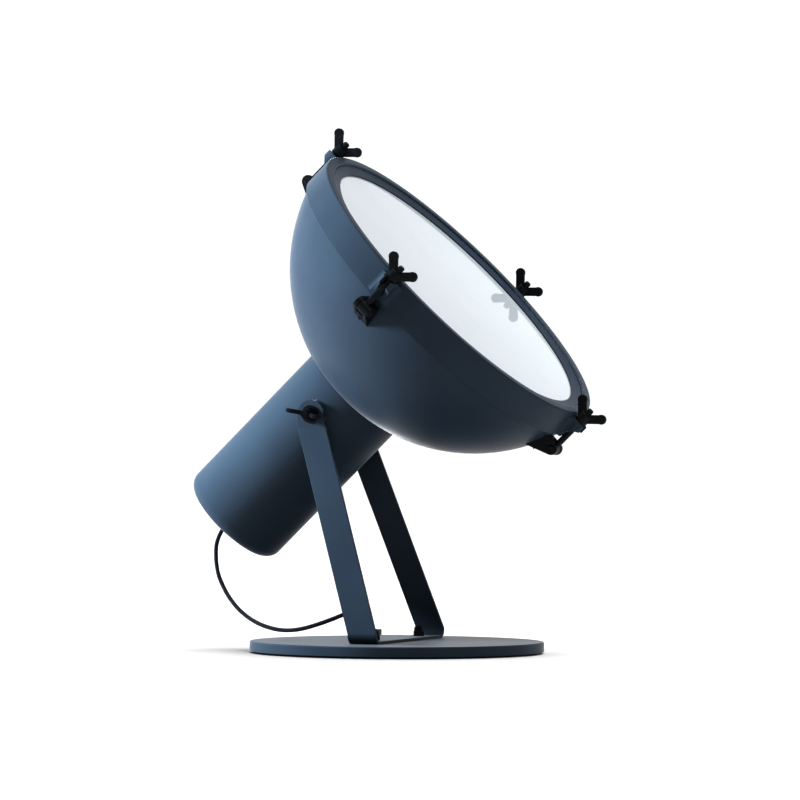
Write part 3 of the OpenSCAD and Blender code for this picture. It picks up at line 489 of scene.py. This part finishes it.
FINISHES = {
    "paint": matt_stove_enamel(),
    "black_metal": black_lacquered_iron(),
    "steel": zinc_plated_steel(),
    "rubber": moulded_rubber(),
    "black_plastic": moulded_thermoplastic("black_thermoplastic", "#131415", "#222427"),
    "cord_cover": extruded_pvc_sheath(),
    "white_plastic": moulded_thermoplastic("white_thermoplastic", "#d9d9d4", "#efefea"),
    "glass": etched_front_glass(),
    "brass": turned_brass(),
}
for name, piece in [*nodes.items(), *castings.items()]:
    piece.data.materials.clear()
    piece.data.materials.append(FINISHES[SLOT_OF[name]])
for piece in (drop, lead):
    piece.data.materials.append(FINISHES["cord_cover"])

# Studio: a pale floor under one very broad light overhead, a key light close on the lamp's back and a weak
# fill on the far side of its front. A low white band goes all round, and beyond the lamp is a tall backdrop.
FLOOR_HALF_WIDTH = 14
BACKDROP_WAY = (-0.351, 0.936, 0)
DIM_GLOW = 0.18
WHITE_GLOW = 1.05
VIEW_GAMMA = 0.8


def studio_floor():
    shape = bmesh.new()
    bmesh.ops.create_grid(shape, x_segments=1, y_segments=1, size=FLOOR_HALF_WIDTH)
    mesh = bpy.data.meshes.new("studio_floor")
    shape.to_mesh(mesh)
    shape.free()
    mesh.materials.append(pale_floor_paint())
    floor = bpy.data.objects.new("studio_floor", mesh)
    scene.collection.objects.link(floor)
    return floor


def soft_sun(name, toward, spread, strength):
    light = bpy.data.lights.new(name, "SUN")
    light.angle = math.radians(spread)
    light.energy = strength
    holder = bpy.data.objects.new(name, light)
    holder.rotation_euler = Vector(toward).to_track_quat("-Z", "Y").to_euler()
    scene.collection.objects.link(holder)


# A round light box that lights the lamp, and shows neither in the picture nor in a reflection
def soft_box(name, place, target, size, power, colour):
    light = bpy.data.lights.new(name, "AREA")
    light.shape = "DISK"
    light.size = size
    light.energy = power
    light.color = colour
    holder = bpy.data.objects.new(name, light)
    holder.location = place
    holder.rotation_euler = (Vector(target) - Vector(place)).to_track_quat("-Z", "Y").to_euler()
    holder.visible_camera = False
    holder.visible_glossy = False
    scene.collection.objects.link(holder)
    return holder


def keep_out_of_light(piece, light):
    kept_out = bpy.data.collections.new("kept_out_of_key")
    light.light_linking.receiver_collection = kept_out
    kept_out.objects.link(piece)
    kept_out.collection_objects[0].light_linking.link_state = "EXCLUDE"


# Limits are the sines of heights above the horizon, and the cosines of turns from the backdrop's middle
def surround():
    world = bpy.data.worlds.new("surround")
    scene.world = world
    world.use_nodes = True
    tree = world.node_tree
    look = put(tree, "TexCoord").outputs["Generated"]
    height = put(tree, "SeparateXYZ", {"Vector": look}).outputs["Z"]
    level = put(tree, "Math", {0: height}, operation="ABSOLUTE").outputs["Value"]
    band = put(
        tree, "MapRange", {"Value": level, "From Min": 0.1, "From Max": 0.14, "To Min": 1, "To Max": 0},
    )
    away = put(tree, "VectorMath", {0: look, 1: BACKDROP_WAY}, operation="DOT_PRODUCT").outputs["Value"]
    across = put(tree, "MapRange", {"Value": away, "From Min": 0.1, "From Max": 0.5})
    risen = put(
        tree, "MapRange", {"Value": height, "From Min": 0.5, "From Max": 0.75, "To Min": 1, "To Max": 0},
    )
    backdrop = put(
        tree, "Math", {0: across.outputs["Result"], 1: risen.outputs["Result"]}, operation="MULTIPLY",
    )
    white = put(
        tree, "Math", {0: band.outputs["Result"], 1: backdrop.outputs["Value"]}, operation="MAXIMUM",
    )
    glow = put(
        tree, "MapRange", {"Value": white.outputs["Value"], "To Min": DIM_GLOW, "To Max": WHITE_GLOW},
    )
    background = tree.nodes["Background"]
    background.inputs["Color"].default_value = (1, 1, 1, 1)
    tree.links.new(glow.outputs["Result"], background.inputs["Strength"])


floor = studio_floor()
soft_sun("overhead_light", toward=(0, 0, -1), spread=60, strength=4.4)
key = soft_box(
    "key_light", place=(-0.87, -0.38, 0.54), target=(0, 0, 0.3), size=0.3, power=60, colour=(0.95, 0.98, 1),
)
keep_out_of_light(floor, key)
soft_box(
    "fill_light", place=(0.45, 0.3, 0.55), target=(0.03, 0, 0.34), size=0.25, power=2.6,
    colour=(0.98, 0.97, 1),
)
surround()
scene.view_settings.view_transform = "Standard"
scene.view_settings.gamma = VIEW_GAMMA
